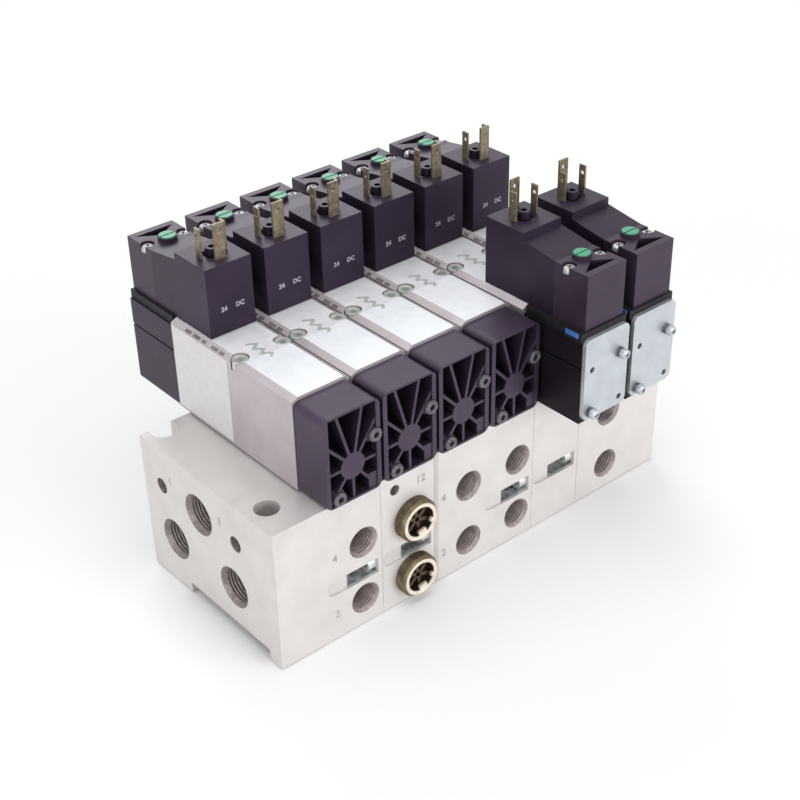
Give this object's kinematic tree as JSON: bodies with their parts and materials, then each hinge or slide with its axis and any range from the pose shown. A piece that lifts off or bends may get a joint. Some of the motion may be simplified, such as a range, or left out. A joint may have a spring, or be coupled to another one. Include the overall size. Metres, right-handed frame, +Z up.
{
  "type": "solenoid pilot valve bank",
  "caption": "Bank of pilot operated solenoid valves, single and double, side by side on a sectional aluminium manifold with side and end ports.",
  "frame": {"origin": "middle of the back foot's underside, on the plane that the manifold rests on", "axes": "+X along the manifold to its right end, +Y to the back where every valve has its solenoid, +Z up"},
  "size_m": [0.2076, 0.1539, 0.1474],
  "materials": {
    "manifold_metal": "satin machined",
    "valve_metal": "satin, lightly mottled",
    "dark_plastic": "fine moulded grain",
    "seal_rubber": "smooth black",
    "plate_steel": "zinc plated",
    "screw_steel": "zinc plated",
    "fitting_brass": "turned and knurled",
    "blade_metal": "dull",
    "green_plastic": "smooth green",
    "spool_metal": "ground"
  },
  "bodies": {
    "valve_bank": {"base_left": "manifold_metal", "base_supply": "manifold_metal", "base_double": "manifold_metal", "base_single": "manifold_metal", "base_right": "manifold_metal", "valve_body_1": "valve_metal", "valve_body_2": "valve_metal", "valve_body_3": "valve_metal", "valve_body_4": "valve_metal", "valve_body_5": "valve_metal", "valve_body_6": "valve_metal", "valve_gaskets": "seal_rubber", "end_cap_1": "dark_plastic", "end_cap_2": "dark_plastic", "end_cap_3": "dark_plastic", "end_cap_4": "dark_plastic", "rear_block_1": "dark_plastic", "rear_coil_1": "dark_plastic", "rear_head_1": "dark_plastic", "rear_block_2": "dark_plastic", "rear_coil_2": "dark_plastic", "rear_head_2": "dark_plastic", "rear_block_3": "dark_plastic", "rear_coil_3": "dark_plastic", "rear_head_3": "dark_plastic", "rear_block_4": "dark_plastic", "rear_coil_4": "dark_plastic", "rear_head_4": "dark_plastic", "rear_block_5": "dark_plastic", "rear_coil_5": "dark_plastic", "rear_head_5": "dark_plastic", "rear_block_6": "dark_plastic", "rear_coil_6": "dark_plastic", "rear_head_6": "dark_plastic", "front_block_5": "dark_plastic", "front_coil_5": "dark_plastic", "front_head_5": "dark_plastic", "front_block_6": "dark_plastic", "front_coil_6": "dark_plastic", "front_head_6": "dark_plastic", "pilot_seals": "seal_rubber", "cover_plates": "plate_steel", "socket_screws": "screw_steel", "pan_screws": "screw_steel", "port_fittings": "fitting_brass", "terminal_blades": "blade_metal"},
    "spool_1": {"spool_1": "spool_metal"},
    "spool_2": {"spool_2": "spool_metal"},
    "spool_3": {"spool_3": "spool_metal"},
    "spool_4": {"spool_4": "spool_metal"},
    "spool_5": {"spool_5": "spool_metal"},
    "spool_6": {"spool_6": "spool_metal"},
    "rear_button_1": {"rear_button_1": "green_plastic"},
    "rear_button_2": {"rear_button_2": "green_plastic"},
    "rear_button_3": {"rear_button_3": "green_plastic"},
    "rear_button_4": {"rear_button_4": "green_plastic"},
    "rear_button_5": {"rear_button_5": "green_plastic"},
    "rear_button_6": {"rear_button_6": "green_plastic"},
    "front_button_5": {"front_button_5": "green_plastic"},
    "front_button_6": {"front_button_6": "green_plastic"}
  },
  "joints": [
    {"name": "spool_1_slide", "type": "slide", "parent": "valve_bank", "child": "spool_1", "axis": [0, -1, 0], "range_m": [0, 0.004], "stiffness_N_per_m": 900, "springref_m": -0.003},
    {"name": "spool_2_slide", "type": "slide", "parent": "valve_bank", "child": "spool_2", "axis": [0, -1, 0], "range_m": [0, 0.004], "stiffness_N_per_m": 900, "springref_m": -0.003},
    {"name": "spool_3_slide", "type": "slide", "parent": "valve_bank", "child": "spool_3", "axis": [0, -1, 0], "range_m": [0, 0.004], "stiffness_N_per_m": 900, "springref_m": -0.003},
    {"name": "spool_4_slide", "type": "slide", "parent": "valve_bank", "child": "spool_4", "axis": [0, -1, 0], "range_m": [0, 0.004], "stiffness_N_per_m": 900, "springref_m": -0.003},
    {"name": "spool_5_slide", "type": "slide", "parent": "valve_bank", "child": "spool_5", "axis": [0, -1, 0], "range_m": [0, 0.004]},
    {"name": "spool_6_slide", "type": "slide", "parent": "valve_bank", "child": "spool_6", "axis": [0, -1, 0], "range_m": [0, 0.004]},
    {"name": "rear_button_1_press", "type": "slide", "parent": "valve_bank", "child": "rear_button_1", "axis": [0, 0, -1], "range_m": [0, 0.0012], "stiffness_N_per_m": 800, "springref_m": -0.0005},
    {"name": "rear_button_2_press", "type": "slide", "parent": "valve_bank", "child": "rear_button_2", "axis": [0, 0, -1], "range_m": [0, 0.0012], "stiffness_N_per_m": 800, "springref_m": -0.0005},
    {"name": "rear_button_3_press", "type": "slide", "parent": "valve_bank", "child": "rear_button_3", "axis": [0, 0, -1], "range_m": [0, 0.0012], "stiffness_N_per_m": 800, "springref_m": -0.0005},
    {"name": "rear_button_4_press", "type": "slide", "parent": "valve_bank", "child": "rear_button_4", "axis": [0, 0, -1], "range_m": [0, 0.0012], "stiffness_N_per_m": 800, "springref_m": -0.0005},
    {"name": "rear_button_5_press", "type": "slide", "parent": "valve_bank", "child": "rear_button_5", "axis": [0, 0, -1], "range_m": [0, 0.0012], "stiffness_N_per_m": 800, "springref_m": -0.0005},
    {"name": "rear_button_6_press", "type": "slide", "parent": "valve_bank", "child": "rear_button_6", "axis": [0, 0, -1], "range_m": [0, 0.0012], "stiffness_N_per_m": 800, "springref_m": -0.0005},
    {"name": "front_button_5_press", "type": "slide", "parent": "valve_bank", "child": "front_button_5", "axis": [0, 0, -1], "range_m": [0, 0.0012], "stiffness_N_per_m": 800, "springref_m": -0.0005},
    {"name": "front_button_6_press", "type": "slide", "parent": "valve_bank", "child": "front_button_6", "axis": [0, 0, -1], "range_m": [0, 0.0012], "stiffness_N_per_m": 800, "springref_m": -0.0005}
  ]
}
